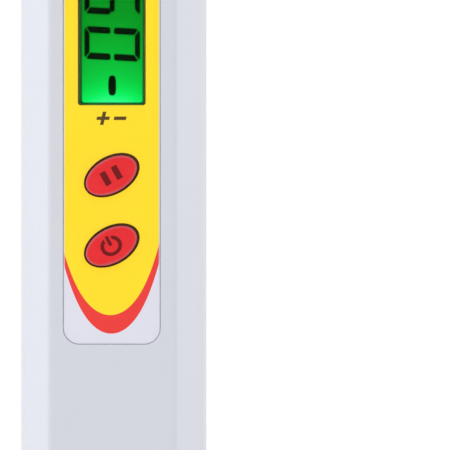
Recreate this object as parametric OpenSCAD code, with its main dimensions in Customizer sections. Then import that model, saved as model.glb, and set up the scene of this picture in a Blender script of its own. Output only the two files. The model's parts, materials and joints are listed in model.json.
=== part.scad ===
// Pen-type electrode meter that stands upright in its storage cap.
// The frame: X to the right, Y to the back, Z up, with the origin at the middle of the cap's base.
// The face with the display and the two keys looks along -Y.

/* [Casing] */
// Height from the cap's base to the top of the lanyard eye
total_h = 185; // [165:1:225]
// Width of the casing
body_w = 38; // [36:1:46]
// Depth of the casing, from face to back
body_d = 30; // [29:1:37]
// Width of the flat face before the flanks slope away
face_w = 26; // [24.5:0.5:28]
// Width of the flat back
back_w = 23; // [20:0.5:26]
// Height of the upright band along each side
side_h = 9; // [6:1:12]
// Thickness of the casing's wall
wall = 2; // [1.6:0.1:2.4]
// Corner radius of the casing's top, seen from the front
top_corner_r = 9; // [6:1:11]
// Corner radius of the casing's top, seen from the side
top_edge_r = 6; // [4:1:7]

/* [Storage cap] */
// Height of the cap
cap_h = 43.6; // [40:0.2:50]
// How much each side of the cap draws in at its base
cap_taper = 2.5; // [0:0.5:3]
// Thickness of the cap's floor
cap_floor = 3; // [2:0.5:4]
// Width of the seam between the cap and the casing
cap_seam = 0.4; // [0.3:0.1:0.8]
// Grip grooves on each side of the cap
grip_count = 5; // [3:1:7]

/* [Face] */
// Width of the label
label_w = 19.6; // [18:0.1:22]
// Height of the label
label_h = 99.7; // [96.1:0.2:109.9]
// Height of the label's lower edge above the casing's lower edge
label_rise = 24.3; // [20.1:0.2:29.9]
// Thickness of the label
label_t = 0.3; // [0.2:0.05:0.4]
// Depth of the recess that the label lies in
recess_depth = 0.5; // [0.4:0.05:0.7]
// Gap between the label's edge and the recess
label_gap = 0.15; // [0.1:0.05:0.5]
// Corner radius of the label
label_r = 3.2; // [2:0.1:4]
// Width of the display window
window_w = 13.8; // [12:0.1:15]
// Height of the display window
window_h = 36.4; // [34:0.2:38]
// Distance from the label's lower edge to the window
window_rise = 48.5; // [46.1:0.2:51.9]

/* [Keys] */
// Longer half-axis of an oval key
key_a = 5.65; // [5:0.05:6]
// Shorter half-axis of an oval key
key_b = 3.45; // [3:0.05:4]
// Tilt of the keys in degrees
key_tilt = 29; // [0:1:45]
// Gap around a key in its hole
key_gap = 0.45; // [0.3:0.05:0.6]
// How far a key stands proud of the face
key_proud = 0.5; // [0.3:0.1:1]
// Travel of a key
key_travel = 0.3; // [0.2:0.05:0.4]
// Height of the power key's middle above the label's lower edge
power_rise = 20; // [18:0.1:21]
// Distance between the middles of the two keys
key_pitch = 14.3; // [13.5:0.1:15]

/* [Battery] */
// Diameter of a cell
cell_d = 10.5; // [10:0.1:10.5]
// Length of a cell with its nub
cell_l = 44.5; // [42:0.5:44.5]
// Length of the room for each cell's spring
spring_l = 5; // [4:0.5:6]
// Height of the battery door's lower edge above the casing's lower edge
door_rise = 60; // [57:1:62]

/* [Electrode] */
// Height of the collar below the casing, which the cap fits over
collar_h = 16; // [14:1:18]
// Wall of the collar around the guard
collar_wall = 2; // [1.6:0.1:2.4]
// Gap between the glass and the guard
guard_gap = 3.4; // [2.6:0.1:3.8]
// Wall of the guard
guard_wall = 1.6; // [1.2:0.1:2]
// Width of the guard's slots
slot_w = 3.5; // [2.5:0.5:5]
// Radius of the glass stem
stem_r = 4; // [3:0.1:4.5]
// Wall of the glass stem
stem_wall = 0.9; // [0.7:0.1:1.2]
// Bore radius of the port that a trimming screwdriver goes through
port_r = 1.75; // [1.5:0.05:2]
// Radius of the hole in the lanyard eye
eye_hole_r = 1.5; // [1:0.1:1.8]

/* [Hidden] */
$fn = 64;

// Shared clearances
fit = 0.05;
slip = 0.15;
past = 1;
facet_angle = 7.5;
oval_steps = 64;

// Corner radii of the casing's section: the face's edges, the side band's front and back, the back's edges
face_edge_r = 1.4;
side_front_r = 8;
side_back_r = 6;
back_edge_r = 5;
// Small radius around the casing's lower edge
foot_r = 0.6;

// Levels in Z
casing_z0 = cap_h + cap_seam;
eye_r = 3.5;
eye_t = 4;
eye_rise = 2;
casing_z1 = total_h - eye_r - eye_rise;
eye_z = casing_z1 + eye_rise;
label_z0 = casing_z0 + label_rise;
label_z1 = label_z0 + label_h;
window_z0 = label_z0 + window_rise;
window_z1 = window_z0 + window_h;
window_zc = (window_z0 + window_z1) / 2;
power_z = label_z0 + power_rise;
hold_z = power_z + key_pitch;
door_z0 = casing_z0 + door_rise;

// Levels in Y, from the face at -Y to the back at +Y
face_y = -body_d / 2;
back_y = body_d / 2;
inner_y = face_y + wall;
recess_y = face_y + recess_depth;
label_y = recess_y - label_t;
window_r = 0.6;
lens_flange_t = 0.8;
lens_flange_w = 1.4;
bezel_y = inner_y + lens_flange_t;
glass_t = 0.9;
glass_y = bezel_y + 0.7;
backlight_t = 2.2;
board_y = inner_y + 6.8;
board_t = 1.6;
board_back_y = board_y + board_t;

// Lip that joins the two shells
lip_t = 0.9;
lip_h = 1.5;

// Screws of the casing: two low down and two at the top
screw_x = 12;
screw_low_z = casing_z0 + 15;
screw_high_z = casing_z1 - 10;
screw_r = 1.2;
screw_head_r = 2.4;
screw_head_h = 1.6;
screw_boss_r = 2.9;
screw_pocket_r = 2.75;
screw_seat_y = back_y - 10;
screw_tip_y = inner_y + 4.5;

// Circuit board and its screws
board_w = 28;
board_z0 = casing_z0 + 20.5;
board_z1 = screw_high_z - screw_boss_r - 1.5;
board_screw_x = 11.7;
board_screw_inset = 3.5;
board_screw_r = 0.9;
board_boss_r = 2.1;

// Cells and their tray: the left cell's nub is up and the right cell's is down
cell_r = cell_d / 2;
cell_gap = 0.3;
cell_x = cell_r + cell_gap / 2;
cell_back_gap = 1.55;
cell_y = back_y - wall - cell_back_gap - cell_r;
nub_h = 1;
nub_r = 1.9;
contact_t = 0.4;
dimple_h = 0.8;
tray_t = 1.2;
tray_half_w = 2 * cell_r + cell_gap / 2 + slip;
tray_floor_y = cell_y - cell_r - slip - tray_t;
tray_z0 = door_z0 + 2.6;
contact_low_z = tray_z0 + tray_t + contact_t;
contact_high_z = contact_low_z + spring_l + cell_l + dimple_h;
tray_z1 = contact_high_z + contact_t + tray_t;
door_z1 = tray_z1 + 1.5;
door_w = 2 * (tray_half_w + tray_t + 0.6);
left_z0 = contact_low_z + spring_l;
left_z1 = left_z0 + cell_l;
right_z0 = contact_low_z + dimple_h;
right_z1 = right_z0 + cell_l;

// Battery door
tongue_x = 6;
tongue_w = 5;
tongue_l = 2;
tongue_t = 1;
tongue_root = 2;
hinge_sweep = norm([wall + slip + tongue_t, tongue_root]) + 0.3;
ledge_rim = 1.6;
ledge_y = 7;
thumb_grooves = 5;
thumb_w = 12;
thumb_pitch = 1.8;
thumb_groove_h = 0.9;
thumb_depth = 0.5;
thumb_inset = 5.1;

// Collar, guard and electrode
guard_r = stem_r + guard_gap + guard_wall;
collar_r = guard_r + collar_wall;
flange_r = body_d / 2 - wall - 0.2;
flange_h = 2.5;
flange_z = casing_z0 + wall + slip;
rib_out = 1.5;
rib_in = 2.4;
rib_h = 1.6;
collar_z0 = casing_z0 - collar_h;
seal_wire_r = 0.75;
seal_z = casing_z0 - 6;
cap_bore_r = collar_r + 0.3;
seal_r = cap_bore_r - fit - seal_wire_r;
guard_z0 = cap_floor + 6;
guard_spigot = 6;
bush_r = stem_r + 2.3;
bush_z0 = collar_z0 + guard_spigot + 2;
bush_z1 = flange_z + flange_h;
stem_z0 = guard_z0 + 4.5;
stem_z1 = bush_z1 + 8;
pin_r = 0.5;
pin_out = 2;
head_h = 6;
head_r = stem_r + 0.8;
junction_r = 0.6;
well_r = guard_r + 0.8;
slot_h = 12;
slot_floor = 2.5;
bush_lip = 1.2;
groove_h = 2;
head_skirt = 3;
cable_in = 3;
cable_r = 1.1;

// Trimmer and the port in the back that reaches it
trimmer_z = board_z0 + 15.5;
trimmer_w = 6.6;
trimmer_h = 5;
trimmer_screw_r = 1.5;
port_tube_r = port_r + 1.2;
port_tube_y = board_back_y + trimmer_h + 2.6;

// Tactile switches
switch_w = 6;
switch_h = 3.2;
plunger_r = 1.6;
plunger_out = 0.8;
plunger_in = 0.6;
key_flange = 1;
key_flange_t = 0.9;
key_flange_y = inner_y + fit;
plunger_y = board_y - switch_h - plunger_out;

// ---------------------------------------------------------------- outlines

function unit(v) = v / norm(v);
function xy(p) = [p[0], p[1]];
function turned(v, t) = [v.x * cos(t) - v.y * sin(t), v.x * sin(t) + v.y * cos(t)];

// Half of the inside angle at corner b
function half_angle(a, b, c) = acos(unit(xy(a) - xy(b)) * unit(xy(c) - xy(b))) / 2;

// The point reached from corner b along its bisector, for an offset of d from both edges
function along_bisector(a, b, c, d) =
    xy(b) + unit(unit(xy(a) - xy(b)) + unit(xy(c) - xy(b))) * d / sin(half_angle(a, b, c));

// One corner [x, y, radius] as an arc of short steps, on an outline listed counter-clockwise
function corner_arc(a, b, c) =
    b[2] < 0.01 ? [xy(b)] :
    let (half = half_angle(a, b, c),
         turn = 180 - 2 * half,
         steps = max(2, ceil(turn / facet_angle)),
         centre = along_bisector(a, b, c, b[2]),
         start = xy(b) + unit(xy(a) - xy(b)) * b[2] / tan(half) - centre)
    [for (i = [0 : steps]) centre + turned(start, turn * i / steps)];

// A convex outline of [x, y, radius] corners with its corners rounded
function rounded(c) =
    let (n = len(c))
    [for (i = [0 : n - 1]) each corner_arc(c[(i + n - 1) % n], c[i], c[(i + 1) % n])];

// The same outline drawn in by d
function inset(c, d) =
    let (n = len(c))
    [for (i = [0 : n - 1])
        let (p = along_bisector(c[(i + n - 1) % n], c[i], c[(i + 1) % n], d))
        [p.x, p.y, max(c[i][2] - d, 0)]];

// A rectangle from low to high with rounded corners
function round_box(low, high, r) =
    rounded([[low.x, low.y, r], [high.x, low.y, r], [high.x, high.y, r], [low.x, high.y, r]]);

// A tilted ellipse about a middle at height z
function oval(a, b, tilt, z) =
    [for (i = [0 : oval_steps - 1])
        let (t = 360 * i / oval_steps)
        turned([a * cos(t), b * sin(t)], tilt) + [0, z]];

// Cross-section of the casing, seen from above
section_corners = [
    [-face_w / 2, face_y, face_edge_r], [face_w / 2, face_y, face_edge_r],
    [body_w / 2, -side_h / 2, side_front_r], [body_w / 2, side_h / 2, side_back_r],
    [back_w / 2, back_y, back_edge_r], [-back_w / 2, back_y, back_edge_r],
    [-body_w / 2, side_h / 2, side_back_r], [-body_w / 2, -side_h / 2, side_front_r]
];

// Casing and cap seen from the front or the side, between the half-widths at the bottom and the top
function profile(half_low, half_high, z0, z1, r_low, r_high) =
    [[-half_low, z0, r_low], [half_low, z0, r_low], [half_high, z1, r_high], [-half_high, z1, r_high]];

// The casing seen from the front
function front_profile() =
    profile(body_w / 2, body_w / 2, casing_z0, casing_z1, foot_r, top_corner_r);

// ---------------------------------------------------------------- helpers

// An outline in X and Z, from y0 to y1
module prism_y(outline, y0, y1)
    translate([0, y1, 0]) rotate([90, 0, 0]) linear_extrude(y1 - y0) polygon(outline);

// An outline in Y and Z, across the whole width
module prism_x(outline, half_w)
    translate([-half_w, 0, 0]) rotate([90, 0, 90]) linear_extrude(2 * half_w) polygon(outline);

// A cylinder along Y, from y0 to y1
module rod_y(x, z, r, y0, y1)
    translate([x, y0, z]) rotate([-90, 0, 0]) cylinder(r = r, h = y1 - y0);

// A box from its lowest to its highest corner
module block(low, high)
    translate(low) cube(high - low);

// A tube along Z
module tube(r_out, r_in, z0, z1)
    translate([0, 0, z0])
        difference() {
            cylinder(r = r_out, h = z1 - z0);
            translate([0, 0, -past]) cylinder(r = r_in, h = z1 - z0 + 2 * past);
        }

// The shape common to the casing and the cap: one section, cut to its outlines from the front and the side
module blank(front, side, z0, z1, d)
    intersection() {
        translate([0, 0, z0 + d])
            linear_extrude(z1 - z0 - 2 * d) polygon(rounded(inset(section_corners, d)));
        prism_y(rounded(inset(front, d)), -body_d, body_d);
        prism_x(rounded(inset(side, d)), body_w);
    }

// The casing's solid shape, drawn in by d
module casing(d)
    blank(front_profile(),
          profile(body_d / 2, body_d / 2, casing_z0, casing_z1, foot_r, top_edge_r),
          casing_z0, casing_z1, d);

// The ring between two insets of the casing's outline, seen from the front
module rim(d_out, d_in, y0, y1)
    difference() {
        prism_y(rounded(inset(front_profile(), d_out)), y0, y1);
        prism_y(rounded(inset(front_profile(), d_in)), y0 - past, y1 + past);
    }

// Everything on one side of the parting plane
module front_half() block([-body_w, -body_d, 0], [body_w, 0, total_h + past]);
module back_half() block([-body_w, 0, 0], [body_w, body_d, total_h + past]);

// Places for the four screws of the casing
module at_case_screws()
    for (x = [-screw_x, screw_x], z = [screw_low_z, screw_high_z])
        translate([x, 0, z]) children();

// Places for the four screws of the circuit board
module at_board_screws()
    for (x = [-board_screw_x, board_screw_x],
         z = [board_z0 + board_screw_inset, board_z1 - board_screw_inset])
        translate([x, 0, z]) children();

// A round wire swept along points, with flat ends
module wire(points, r, sides = 8) {
    n = len(points);
    ways = [for (i = [0 : n - 1]) unit(points[min(i + 1, n - 1)] - points[max(i - 1, 0)])];
    rings = [for (i = [0 : n - 1])
        let (side = unit(cross(ways[i], abs(ways[i].z) > 0.9 ? [1, 0, 0] : [0, 0, 1])),
             up = cross(side, ways[i]))
        [for (k = [0 : sides - 1])
            let (t = 360 * k / sides) points[i] + r * (cos(t) * side + sin(t) * up)]];
    polyhedron(
        points = [for (ring = rings) each ring],
        faces = concat(
            [[for (k = [0 : sides - 1]) k]],
            [[for (k = [sides - 1 : -1 : 0]) (n - 1) * sides + k]],
            [for (i = [0 : n - 2], k = [0 : sides - 1])
                let (a = i * sides + k, b = i * sides + (k + 1) % sides)
                [b, a, a + sides]],
            [for (i = [0 : n - 2], k = [0 : sides - 1])
                let (a = i * sides + k, b = i * sides + (k + 1) % sides)
                [b, a + sides, b + sides]]));
}

// Points on a smooth curve through four control points
function bezier(p, steps) =
    [for (i = [0 : steps])
        let (t = i / steps, s = 1 - t)
        s * s * s * p[0] + 3 * s * s * t * p[1] + 3 * s * t * t * p[2] + t * t * t * p[3]];

// ---------------------------------------------------------------- casing

// Half-ring ribs that hold the collar's flange down
module flange_rib()
    difference() {
        tube(flange_r + rib_out, flange_r - rib_in, flange_z + flange_h + slip,
             flange_z + flange_h + slip + rib_h);
        block([-body_w, -slip, 0], [body_w, slip, total_h]);
    }

module front_shell() color("whitesmoke")
    difference() {
        union() {
            difference() {
                intersection() {
                    difference() {
                        casing(0);
                        casing(wall);
                    }
                    front_half();
                }
                prism_y(round_box([-label_w / 2 - label_gap, label_z0 - label_gap],
                                  [label_w / 2 + label_gap, label_z1 + label_gap],
                                  label_r + label_gap), face_y - past, recess_y);
            }
            rim(wall - lip_t, wall, -lip_h, lip_h);
            intersection() {
                union() {
                    at_case_screws() rod_y(0, 0, screw_boss_r, inner_y - fit, -slip);
                    at_board_screws() rod_y(0, 0, board_boss_r, inner_y - fit, board_y);
                    flange_rib();
                }
                casing(wall / 2);
                front_half();
            }
        }
        at_case_screws() rod_y(0, 0, screw_r + fit, screw_tip_y - past, past);
        at_board_screws() rod_y(0, 0, board_screw_r + fit, inner_y + wall, board_y + past);
        prism_y(round_box([-window_w / 2, window_z0], [window_w / 2, window_z1], window_r),
                face_y - past, inner_y + past);
        for (z = [power_z, hold_z])
            prism_y(oval(key_a + key_gap, key_b + key_gap, key_tilt, z), face_y - past, inner_y + past);
        translate([0, 0, casing_z0 - past]) cylinder(r = collar_r + slip, h = wall + 2 * past);
    }

// What the battery door covers, grown by gap
module door_zone(gap)
    block([-door_w / 2 - gap, 0, door_z0 - gap], [door_w / 2 + gap, body_d, door_z1 + gap]);

// Open-backed box that holds the two cells, with a rim around its mouth that the door closes on
module battery_tray()
    difference() {
        union() {
            block([-tray_half_w - tray_t, tray_floor_y, tray_z0],
                  [tray_half_w + tray_t, back_y, tray_z1]);
            block([-door_w / 2 - ledge_rim, ledge_y, door_z0 - ledge_rim],
                  [door_w / 2 + ledge_rim, back_y, door_z1 + ledge_rim]);
        }
        block([-tray_half_w, tray_floor_y + tray_t, tray_z0 + tray_t],
              [tray_half_w, body_d, tray_z1 - tray_t]);
        // room for the door's tongues to swing through
        block([-tray_half_w, back_y - hinge_sweep, door_z0 - tongue_l - slip],
              [tray_half_w, body_d, door_z0 + hinge_sweep]);
        // slots for the terminals' tails
        for (x = [-cell_x, cell_x])
            block([x - 1, tray_floor_y - past, contact_high_z - fit],
                  [x + 1, tray_floor_y + tray_t + past, tray_z1 - tray_t + 0.4]);
    }

module lanyard_eye()
    difference() {
        union() {
            rod_y(0, eye_z, eye_r, slip, slip + eye_t);
            block([-eye_r, slip, casing_z1 - past], [eye_r, slip + eye_t, eye_z]);
        }
        rod_y(0, eye_z, eye_hole_r, -past, eye_t + 2 * past);
        // clear of the front shell's lip
        block([-body_w, -past, casing_z0], [body_w, body_d, casing_z1 - (wall - lip_t - slip)]);
    }

module rear_shell() color("whitesmoke")
    difference() {
        union() {
            difference() {
                intersection() {
                    difference() {
                        casing(0);
                        casing(wall);
                    }
                    back_half();
                }
                rim(wall - lip_t - slip, wall + past, -past, lip_h + slip);
                door_zone(slip);
            }
            intersection() {
                union() {
                    battery_tray();
                    flange_rib();
                    at_case_screws() rod_y(0, 0, screw_boss_r + 0.6, slip, back_y);
                    rod_y(0, trimmer_z, port_tube_r, port_tube_y, back_y);
                }
                difference() {
                    casing(wall / 2);
                    front_half();
                    rim(-past, wall + slip, -past, lip_h + slip);
                    difference() {
                        door_zone(slip);
                        casing(wall + slip);
                    }
                }
            }
            lanyard_eye();
        }
        at_case_screws() rod_y(0, 0, screw_pocket_r, screw_seat_y, body_d);
        at_case_screws() rod_y(0, 0, screw_r + slip, -past, body_d);
        rod_y(0, trimmer_z, port_r, 0, body_d);
        translate([0, 0, casing_z0 - past]) cylinder(r = collar_r + slip, h = wall + 2 * past);
    }

// Snap-in door: two tongues hook under the casing at its lower end, and its upper end springs free
module battery_door() color("whitesmoke")
    difference() {
        union() {
            intersection() {
                difference() {
                    casing(0);
                    casing(wall);
                }
                door_zone(0);
            }
            for (x = [-tongue_x, tongue_x])
                block([x - tongue_w / 2, back_y - wall - slip - tongue_t, door_z0 - tongue_l],
                      [x + tongue_w / 2, back_y - wall - slip, door_z0 + tongue_root]);
            for (x = [-tongue_x, tongue_x])
                block([x - tongue_w / 2, back_y - wall - slip - tongue_t, door_z0 + 0.3],
                      [x + tongue_w / 2, back_y - wall / 2, door_z0 + tongue_root]);
        }
        // thumb grip: a row of grooves below the catch
        for (i = [0 : thumb_grooves - 1])
            let (z = door_z1 - thumb_inset - thumb_pitch * i)
            block([-thumb_w / 2, back_y - thumb_depth, z - thumb_groove_h], [thumb_w / 2, back_y + past, z]);
    }

cap_base_r = 4;
cap_mouth_r = 0.5;
mouth_chamfer = 0.8;
grip_r = 1.1;
grip_depth = 0.6;
grip_pitch = 3;
function grip_z(i) = cap_h - 9 - grip_pitch * i;
function cap_half_w(z) = body_w / 2 - cap_taper * (1 - z / cap_h);

module storage_cap() color("whitesmoke")
    difference() {
        blank(profile(body_w / 2 - cap_taper, body_w / 2, 0, cap_h, cap_base_r, cap_mouth_r),
              profile(body_d / 2 - cap_taper, body_d / 2, 0, cap_h, cap_base_r, cap_mouth_r), 0, cap_h, 0);
        translate([0, 0, collar_z0 - fit]) cylinder(r = cap_bore_r, h = cap_h);
        translate([0, 0, cap_floor]) cylinder(r = well_r, h = cap_h);
        // lead-in chamfer at the mouth
        translate([0, 0, cap_h - mouth_chamfer])
            cylinder(r1 = cap_bore_r, r2 = cap_bore_r + mouth_chamfer, h = mouth_chamfer + 0.001);
        for (side = [-1, 1], i = [0 : grip_count - 1])
            translate([side * (cap_half_w(grip_z(i)) + grip_r - grip_depth), 0, grip_z(i)])
                rotate([90, 0, 0]) cylinder(r = grip_r, h = 2 * side_h, center = true);
    }

// ---------------------------------------------------------------- face

module face_label() color("gold")
    difference() {
        prism_y(round_box([-label_w / 2, label_z0], [label_w / 2, label_z1], label_r), label_y, recess_y);
        prism_y(round_box([-window_w / 2, window_z0], [window_w / 2, window_z1], window_r),
                label_y - past, recess_y + past);
        for (z = [power_z, hold_z])
            prism_y(oval(key_a + key_gap, key_b + key_gap, key_tilt, z), label_y - past, recess_y + past);
    }

// Clear window with a flange glued behind the face
module display_window() color("lightcyan", 0.4)
    union() {
        prism_y(round_box([-window_w / 2 + fit, window_z0 + fit], [window_w / 2 - fit, window_z1 - fit],
                          window_r - fit), recess_y, inner_y + fit);
        prism_y(round_box([-window_w / 2 - lens_flange_w, window_z0 - lens_flange_w],
                          [window_w / 2 + lens_flange_w, window_z1 + lens_flange_w], 1), inner_y, bezel_y);
    }

module key(z) color("crimson")
    union() {
        prism_y(oval(key_a, key_b, key_tilt, z), face_y - key_proud, key_flange_y + fit);
        prism_y(oval(key_a + key_flange, key_b + key_flange, key_tilt, z),
                key_flange_y, key_flange_y + key_flange_t);
        rod_y(0, z, plunger_r, key_flange_y, plunger_y);
    }

module hold_key() key(hold_z);
module power_key() key(power_z);

module plunger(z) color("dimgray")
    rod_y(0, z, plunger_r, plunger_y, plunger_y + plunger_out + plunger_in);

module hold_plunger() plunger(hold_z);
module power_plunger() plunger(power_z);

module switch_base(z) color("silver")
    difference() {
        block([-switch_w / 2, board_y - switch_h, z - switch_w / 2],
              [switch_w / 2, board_y, z + switch_w / 2]);
        rod_y(0, z, plunger_r + slip, board_y - switch_h - past,
              board_y - switch_h + plunger_in + key_travel + 0.2);
    }

module hold_switch() switch_base(hold_z);
module power_switch() switch_base(power_z);

// ---------------------------------------------------------------- display

glass_half_w = window_w / 2 + 0.9;
glass_half_h = window_h / 2 + 1.6;
ledge_w = 1.9;
bezel_wall = 1.2;
mask_w = 0.8;
mask_h = 0.5;
led_h = 1.1;

// Dark frame that holds the glass and the backlight over the board
module lcd_bezel() color("darkslategray")
    difference() {
        prism_y(round_box([-glass_half_w - bezel_wall, window_zc - glass_half_h - bezel_wall],
                          [glass_half_w + bezel_wall, window_zc + glass_half_h + bezel_wall], 1),
                bezel_y, board_y);
        block([-window_w / 2 + mask_w, bezel_y - past, window_z0 + mask_h],
              [window_w / 2 - mask_w, board_y, window_z1 - mask_h]);
        block([-glass_half_w - fit, glass_y, window_zc - glass_half_h - fit],
              [glass_half_w + fit, board_y + past, window_zc + glass_half_h + fit]);
    }

module lcd_front_glass() color("lightgreen", 0.6)
    block([-glass_half_w, glass_y, window_zc - glass_half_h],
          [glass_half_w, glass_y + glass_t, window_zc + glass_half_h]);

module lcd_rear_glass() color("lightgreen", 0.6)
    block([-glass_half_w, glass_y + glass_t, window_zc - glass_half_h],
          [glass_half_w - ledge_w, glass_y + 2 * glass_t, window_zc + glass_half_h]);

// Striped rubber strip that joins the glass to the board
module lcd_connector_strip() color("black")
    block([glass_half_w - ledge_w + slip, glass_y + glass_t, window_zc - glass_half_h + 1],
          [glass_half_w - slip, board_y, window_zc + glass_half_h - 1]);

module backlight_panel() color("palegreen")
    block([-glass_half_w + slip, glass_y + 2 * glass_t, window_zc - glass_half_h + led_h + 0.5],
          [glass_half_w - ledge_w - slip, glass_y + 2 * glass_t + backlight_t,
           window_zc + glass_half_h - fit]);

module backlight_leds() color("lime")
    for (x = [-4, 0, 4])
        block([x - 1, board_y - 1.9, window_zc - glass_half_h + 0.4],
              [x + 1, board_y, window_zc - glass_half_h + 0.4 + led_h]);

// ---------------------------------------------------------------- electronics

module circuit_board() color("darkgreen")
    difference() {
        prism_y(round_box([-board_w / 2, board_z0], [board_w / 2, board_z1], 1), board_y, board_back_y);
        at_board_screws() rod_y(0, 0, board_screw_r + slip, board_y - past, board_back_y + past);
    }

// Round resin drop over the bare chip
module chip_on_board() color("black")
    translate([0, board_back_y, (trimmer_z + tray_z0) / 2 + 2])
        rotate([-90, 0, 0])
            union() {
                cylinder(r = 5, h = 0.6);
                translate([0, 0, 0.6]) cylinder(r1 = 4.7, r2 = 2.6, h = 0.8);
            }

// Small surface-mount parts, as [x, distance above the trimmer, half-width, half-height, thickness]
smd_places = [
    [8, 2, 2, 2.5, 1.5], [-8, 0, 2, 2.5, 1.5],
    [-9.5, 8, 0.8, 1.2, 0.8], [-6.5, 8, 0.8, 1.2, 0.8], [9.5, 8, 0.8, 1.2, 0.8], [6.8, 8, 0.8, 1.2, 0.8],
    [10, 14, 1.2, 1.6, 1.1], [-10, 14, 1.2, 1.6, 1.1], [-9, -7, 1.2, 0.8, 0.8], [8.6, -7, 1.2, 0.8, 0.8]
];
module smd_components() color("dimgray")
    for (p = smd_places)
        block([p[0] - p[2], board_back_y, trimmer_z + p[1] - p[3]],
              [p[0] + p[2], board_back_y + p[4], trimmer_z + p[1] + p[3]]);

module trimmer_body() color("royalblue")
    difference() {
        block([-trimmer_w / 2, board_back_y, trimmer_z - trimmer_w / 2],
              [trimmer_w / 2, board_back_y + trimmer_h, trimmer_z + trimmer_w / 2]);
        rod_y(0, trimmer_z, trimmer_screw_r + fit, board_back_y + trimmer_h - 1.4,
              board_back_y + trimmer_h + past);
    }

// Slotted brass screw that the screwdriver turns
module trimmer_screw() color("goldenrod")
    difference() {
        rod_y(0, trimmer_z, trimmer_screw_r, board_back_y + trimmer_h - 1.3, board_back_y + trimmer_h + 1.2);
        block([-0.3, board_back_y + trimmer_h + 0.4, trimmer_z - 2 * trimmer_screw_r],
              [0.3, board_back_y + trimmer_h + 2, trimmer_z + 2 * trimmer_screw_r]);
    }

// ---------------------------------------------------------------- battery

// A cell with its nub up or down
module cell(x, nub_up) color("steelblue")
    translate([x, cell_y, nub_up ? left_z0 : right_z1])
        rotate([nub_up ? 0 : 180, 0, 0])
            union() {
                cylinder(r = cell_r, h = cell_l - nub_h);
                cylinder(r = nub_r, h = cell_l);
            }

module battery_left() cell(-cell_x, true);
module battery_right() cell(cell_x, false);

// Tapered coil from a contact plate to a cell's flat end
coil_turns = 3;
coil_wire_r = 0.35;
coil_steps = 12;
coil_wide = 3.6;
coil_draw = 1.6;
function coil(x, z_wide, z_small) =
    [for (i = [0 : coil_turns * coil_steps])
        let (s = i / (coil_turns * coil_steps), t = 360 * i / coil_steps)
        [x + (coil_wide - coil_draw * s) * cos(t), cell_y + (coil_wide - coil_draw * s) * sin(t),
         z_wide + (z_small - z_wide) * s]];

module battery_springs() color("silver") {
    wire(coil(-cell_x, contact_low_z + coil_wire_r + 0.02, left_z0 - coil_wire_r - 0.02), coil_wire_r);
    wire(coil(cell_x, contact_high_z - coil_wire_r - 0.02, right_z1 + coil_wire_r + 0.02), coil_wire_r);
}

// Flat plate against the end wall of the tray, between two heights in Z
contact_half_h = 4.2;
module contact_plate(x0, x1, z)
    block([x0, cell_y - contact_half_h, z], [x1, cell_y + contact_half_h - 1, z + contact_t]);

// Dimple that meets a cell's nub
module contact_dimple(x, z0, z1)
    translate([x, cell_y, z0]) cylinder(r = 1.5, h = z1 - z0);

module bridge_contact() color("silver")
    union() {
        contact_plate(-cell_x - 4, cell_x + 4, tray_z0 + tray_t);
        contact_dimple(cell_x, tray_z0 + tray_t + contact_t / 2, right_z0);
    }

// Terminal plate with a tail that passes through the floor of the tray
module terminal(x)
    union() {
        contact_plate(x - 4, x + 4, contact_high_z);
        block([x - 0.8, board_back_y + 1.9, contact_high_z],
              [x + 0.8, cell_y - contact_half_h + 1, contact_high_z + contact_t]);
    }

module positive_terminal() color("silver")
    union() {
        terminal(-cell_x);
        contact_dimple(-cell_x, left_z1, contact_high_z + contact_t / 2);
    }
module negative_terminal() color("silver") terminal(cell_x);

// Two insulated leads from the terminals' tails to the board
lead_r = 0.5;
module battery_wires() color("firebrick")
    for (side = [-1, 1])
        let (x = side * cell_x, y = board_back_y, z = contact_high_z + contact_t)
        wire(concat([[x, y + 2.4, z]],
                    bezier([[x, y + 2.4, z + 0.5], [x, y + 2.4, z + 4.5],
                            [x + side * 3.4, y + 3, z + 4.5], [x + side * 3.4, y + 0.8, z + 3]], 16),
                    [[x + side * 3.4, y, z + 3]]), lead_r);

// ---------------------------------------------------------------- fasteners

// Pan-head screw along Y with a cross recess, its head at y and its tip at y_tip
module screw(r, head_r, head_h, y, y_tip)
    difference() {
        union() {
            rod_y(0, 0, head_r, y, y + head_h);
            rod_y(0, 0, r, y_tip, y + head_h / 2);
        }
        for (a = [0, 90])
            translate([0, y + head_h / 2, 0]) rotate([0, a, 0])
                block([-head_r * 0.6, 0, -head_r * 0.14], [head_r * 0.6, head_h, head_r * 0.14]);
    }

module case_screws() color("silver")
    at_case_screws() screw(screw_r, screw_head_r, screw_head_h, screw_seat_y, screw_tip_y);

module pcb_screws() color("silver")
    at_board_screws() screw(board_screw_r, 1.8, 1.1, board_back_y, inner_y + wall + 0.5);

// ---------------------------------------------------------------- electrode

// Round collar clamped between the shells: it carries the cap, the guard and the glass
module electrode_collar() color("gainsboro")
    difference() {
        union() {
            translate([0, 0, collar_z0]) cylinder(r = collar_r, h = flange_z - collar_z0 + fit);
            translate([0, 0, flange_z]) cylinder(r = flange_r, h = flange_h);
        }
        translate([0, 0, collar_z0 - past]) cylinder(r = bush_r, h = flange_z + flange_h);
        translate([0, 0, collar_z0 - past]) cylinder(r = guard_r + fit, h = guard_spigot + past);
        difference() {
            translate([0, 0, seal_z - groove_h / 2]) cylinder(r = collar_r + past, h = groove_h);
            translate([0, 0, seal_z - groove_h])
                cylinder(r = seal_r - seal_wire_r - fit / 2, h = 2 * groove_h);
        }
    }

module collar_seal() color("black")
    translate([0, 0, seal_z]) rotate_extrude() translate([seal_r, 0]) circle(r = seal_wire_r);

// Rubber bush between the glass and the collar
module electrode_bush() color("dimgray")
    union() {
        tube(bush_r, stem_r, bush_z0, bush_z1);
        tube(bush_r + bush_lip, stem_r, bush_z1, bush_z1 + bush_lip);
    }

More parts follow.
